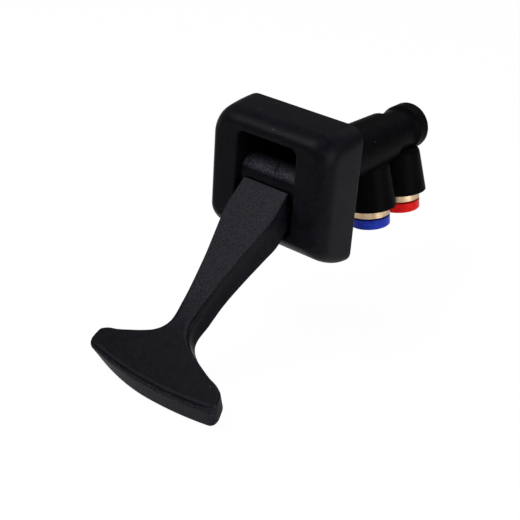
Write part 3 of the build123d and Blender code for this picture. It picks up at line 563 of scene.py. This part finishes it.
def roundedRing(halfWidth, top, bottom, upperRound, lowerRound):
    # Rounded rectangle with the same count of points in each corner and along each side
    turn = np.radians(np.linspace(0.0, 90.0, 13))
    points = []
    for sideX, sideZ, start in ((1, 1, 0.0), (-1, 1, 90.0), (-1, -1, 180.0), (1, -1, 270.0)):
        radius = upperRound if sideZ > 0 else lowerRound
        level = top - radius if sideZ > 0 else bottom + radius
        points.append(np.stack([sideX * (halfWidth - radius) + radius * np.cos(turn + math.radians(start)),
                                level + radius * np.sin(turn + math.radians(start))], axis=-1))
    sides = []
    for k in range(4):
        part = np.linspace(0.0, 1.0, 18)[1:-1, None]
        sides += [points[k], points[k][-1] * (1 - part) + points[(k + 1) % 4][0] * part]
    return np.concatenate(sides)


def bezelSheet():
    # A closed profile is carried round the rounded outline: up the outside with its full sides, over the soft
    # front edge, across the front face, through the window, and back by the pocket that holds the body's flange
    looks = bezelLooks
    depth = looks["depth"]

    def outside(y, part):
        fore = (abs(y) / depth) ** looks["fullness"]
        halfWidth, top, bottom, upper, lower = [
            looks[key][0] + (looks[key][1] - looks[key][0]) * fore
            for key in ("halfWidth", "top", "bottom", "upperRound", "lowerRound")]
        inSide, inTop, inBottom = [value * part for value in looks["softInset"]]
        return roundedRing(halfWidth - inSide, top - inTop, bottom + inBottom, upper - 0.75 * inTop,
                           lower - 0.75 * inBottom)

    def window(grown):
        half, top, bottom = looks["window"]
        return roundedRing(half + grown, top + grown, bottom - grown, looks["windowRound"] + grown,
                           looks["windowRound"] + grown)

    def pocket(y, drawn):
        fore, inset = abs(y) / depth, looks["wall"] + drawn
        halfWidth, top, bottom = [looks[key][0] + (looks[key][1] - looks[key][0]) * fore
                                  for key in ("halfWidth", "top", "bottom")]
        return roundedRing(halfWidth - inset, top - inset, bottom + inset, *looks["pocketRounds"])

    rows = []
    rear, edge, grown = looks["rearEdge"], looks["windowEdge"], 0.0
    for turn in np.linspace(0.0, math.pi / 2, 6):
        ring = outside(0.0, 0.0)
        middle = ring.mean(axis=0)
        inward = 1 - rear * (1 - math.sin(turn)) / looks["halfWidth"][0]
        rows.append((-rear * (1 - math.cos(turn)), middle + (ring - middle) * inward))
    for y in np.linspace(-rear, -(depth - looks["softDepth"]), 22)[1:]:
        rows.append((y, outside(y, 0.0)))
    for turn in np.linspace(0.0, math.pi / 2, 26)[1:]:
        y = -depth + looks["softDepth"] * (1 - math.sin(turn))
        rows.append((y, outside(y, 1 - math.cos(turn))))
    face, hole = rows[-1][1], window(edge)
    for part in np.linspace(0.0, 1.0, 8)[1:]:
        rows.append((-depth, face * (1 - part) + hole * part))
    for turn in np.linspace(0.0, math.pi / 2, 7)[1:]:
        rows.append((-depth + edge * (1 - math.cos(turn)), window(edge * (1 - math.sin(turn)))))
    for y in np.linspace(-depth + edge, -looks["pocketDepth"], 8)[1:]:
        rows.append((y, window(grown)))
    for y in np.linspace(-looks["pocketDepth"], 0.0, 4):
        rows.append((y, pocket(y, 0.0)))
    rows.append(rows[0])
    sheet = np.stack([np.column_stack([ring[:, 0], np.full(len(ring), y), ring[:, 1]]) for y, ring in rows])
    return sheet * 0.001, np.zeros(sheet.shape[:2])


def bossSheet(sideX, sideZ):
    # Tube round an insert: its rectangle profile turns about the insert's axis
    looks = bezelLooks
    radius = np.array([looks["bossHole"], looks["bossRadius"], looks["bossRadius"], looks["bossHole"],
                       looks["bossHole"]])
    y = np.array([0.0, 0.0, -looks["bossDepth"], -looks["bossDepth"], 0.0])
    turn = np.radians(np.arange(0.0, 360.0, 7.5))[None, :]
    x = sideX * looks["bossPlace"] + radius[:, None] * np.cos(turn)
    z = sideZ * looks["bossPlace"] + radius[:, None] * np.sin(turn)
    sheet = np.stack([x, y[:, None] + 0.0 * x, z], axis=-1) * 0.001
    return sheet, np.zeros(sheet.shape[:2])


bezelSkin = gridPiece("bezelSkin", [bezelSheet()] + [bossSheet(x, z) for x in (-1, 1) for z in (-1, 1)],
                      finishes["black_moulding"], 38.0)
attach(bezelSkin, "housing")
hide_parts("bezel")
print("bezel:", len(bezelSkin.data.polygons), "faces")

# Springs in millimetres: each coil is drawn at rest between its near and far seats; slide and travel are listed but
# nothing here shortens it
springLooks = {
    "seatGap": 0.05, "aroundTurn": 44, "aroundWire": 14,
    "springs": {
        "graduating_spring": {"near": 3.0, "far": 26.0, "coil": 5.6, "wire": 0.75, "turns": 6,
                              "slide": "plunger_slide", "travel": 2.73},
        "return_spring": {"near": 34.0, "far": 56.0, "coil": 6.6, "wire": 0.60, "turns": 6,
                          "slide": "piston_slide", "travel": 1.37},
        "poppet_spring": {"near": 63.9, "far": 71.0, "coil": 3.6, "wire": 0.45, "turns": 5,
                          "slide": "poppet_slide", "travel": 0.74},
    },
}


def coilSheet(spring):
    # Round wire carried along a helix about the body's axis, with both cut ends closed to a point
    looks = springLooks
    first = spring["near"] + spring["wire"] + looks["seatGap"]
    rise = spring["far"] - spring["wire"] - looks["seatGap"] - first
    part = np.linspace(0.0, 1.0, looks["aroundTurn"] * spring["turns"] + 1)[:, None]
    turn = 2 * math.pi * spring["turns"] * part
    still = 0.0 * turn
    out = np.stack([np.cos(turn), still, np.sin(turn)], axis=-1)
    middle = spring["coil"] * out + np.stack([still, first + rise * part, still], axis=-1)
    climb = rise / (2 * math.pi * spring["turns"])
    along = np.stack([-spring["coil"] * np.sin(turn), climb + still, spring["coil"] * np.cos(turn)], axis=-1)
    along = along / np.linalg.norm(along, axis=-1, keepdims=True)
    roundWire = np.radians(np.arange(looks["aroundWire"]) * 360.0 / looks["aroundWire"])[None, :, None]
    wire = middle + spring["wire"] * (np.cos(roundWire) * out + np.sin(roundWire) * np.cross(along, out))
    ends = [middle[k] + 0.0 * wire[k] for k in (0, -1)]
    sheet = np.concatenate([ends[0][None], wire, ends[1][None]]) * 0.001
    return sheet, np.zeros(sheet.shape[:2])


for nodeName, spring in springLooks["springs"].items():
    springSkin = gridPiece(nodeName + "Coil", [coilSheet(spring)], finishes["spring_steel"], 50.0)
    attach(springSkin, "housing")
    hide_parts(nodeName)
    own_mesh(springSkin)
print("springs:", len(springLooks["springs"]))

# Floor, light and camera
stageLooks = {"floorLevel": cadBox[0][2] - 0.0004, "floorHalf": 3.0, "keyWatts": 8.4, "fillWatts": 5.4,
              "rimWatts": 1.1, "ambient": 0.26}


def backdropFinish(name, shadowShare):
    graph = Graph(name)
    tree = graph.tree
    ray = graph.node("ShaderNodeLightPath", output=0)
    glossy = graph.node("ShaderNodeLightPath", output=3)
    seen = graph.node("ShaderNodeMath", {"operation": "MAXIMUM"}, {0: ray, 1: glossy * 0.6})
    graph.finish(colour=rgba(0.86, 0.86, 0.86), roughness=0.8)
    glow = graph.node("ShaderNodeEmission", {}, {"Color": rgba(1.0, 1.0, 1.0), "Strength": 1.0})
    mixed = graph.node("ShaderNodeMixShader", {}, {0: seen * shadowShare,
                                                   1: Wire(graph, graph.shader.outputs[0]), 2: glow})
    tree.links.new(mixed.socket, tree.nodes["Material Output"].inputs["Surface"])
    return graph.material


def flatSheet(name, corners, finish):
    mesh = bpy.data.meshes.new(name)
    mesh.from_pydata(corners, [], [(0, 1, 2, 3)])
    mesh.materials.append(finish)
    piece = bpy.data.objects.new(name, mesh)
    bpy.context.scene.collection.objects.link(piece)
    return piece


reach, floorLevel = stageLooks["floorHalf"], stageLooks["floorLevel"]
flatSheet("studioFloor", [(-reach, -reach, floorLevel), (reach, -reach, floorLevel), (reach, reach, floorLevel),
                          (-reach, reach, floorLevel)], backdropFinish("studioPaper", 0.97))

world = bpy.data.worlds.new("studioWorld")
bpy.context.scene.world = world
world.use_nodes = True
worldTree = world.node_tree
plain = worldTree.nodes["Background"]
plain.inputs["Color"].default_value = rgba(1.0, 1.0, 1.0)
plain.inputs["Strength"].default_value = stageLooks["ambient"]
bright = worldTree.nodes.new("ShaderNodeBackground")
bright.inputs["Color"].default_value = rgba(1.0, 1.0, 1.0)
bright.inputs["Strength"].default_value = 1.0
rays = worldTree.nodes.new("ShaderNodeLightPath")
chosen = worldTree.nodes.new("ShaderNodeMixShader")
worldTree.links.new(rays.outputs["Is Camera Ray"], chosen.inputs[0])
worldTree.links.new(plain.outputs[0], chosen.inputs[1])
worldTree.links.new(bright.outputs[0], chosen.inputs[2])
worldTree.links.new(chosen.outputs[0], worldTree.nodes["World Output"].inputs["Surface"])


def softLamp(name, place, target, size, watts):
    light = bpy.data.lights.new(name, "AREA")
    light.shape = "RECTANGLE"
    light.size, light.size_y = size
    light.energy = watts
    lamp = bpy.data.objects.new(name, light)
    bpy.context.scene.collection.objects.link(lamp)
    lamp.location = place
    lamp.rotation_mode = "QUATERNION"
    lamp.rotation_quaternion = (Vector(target) - Vector(place)).to_track_quat("-Z", "Y")


softLamp("keyLamp", (-0.26, -0.34, 0.72), (0.0, 0.0, 0.0), (0.55, 0.45), stageLooks["keyWatts"])
softLamp("fillLamp", (0.76, -0.02, 0.22), (0.0, 0.0, 0.0), (0.5, 0.5), stageLooks["fillWatts"])
softLamp("rimLamp", (0.10, 0.65, 0.55), (0.0, 0.0, 0.0), (0.7, 0.4), stageLooks["rimWatts"])

cameraLooks = {"place": (0.22724, -0.31905, 0.17322), "lens": 75.66,
               "right": (0.7729891, 0.6313495, 0.0623348), "down": (0.3439786, -0.3345233, -0.8773670),
               "forward": (-0.5330728, 0.6996370, -0.4757536)}
camera = bpy.data.objects.new("photoCamera", bpy.data.cameras.new("photoCamera"))
bpy.context.scene.collection.objects.link(camera)
camera.data.sensor_width, camera.data.lens = 36.0, cameraLooks["lens"]
camera.data.clip_start, camera.data.clip_end = 0.01, 20.0
axes = Matrix((cameraLooks["right"], [-v for v in cameraLooks["down"]], [-v for v in cameraLooks["forward"]]))
camera.matrix_world = Matrix.Translation(cameraLooks["place"]) @ axes.transposed().to_4x4()
bpy.context.scene.camera = camera
bpy.context.scene.view_settings.view_transform = "Standard"
print("stage ready")
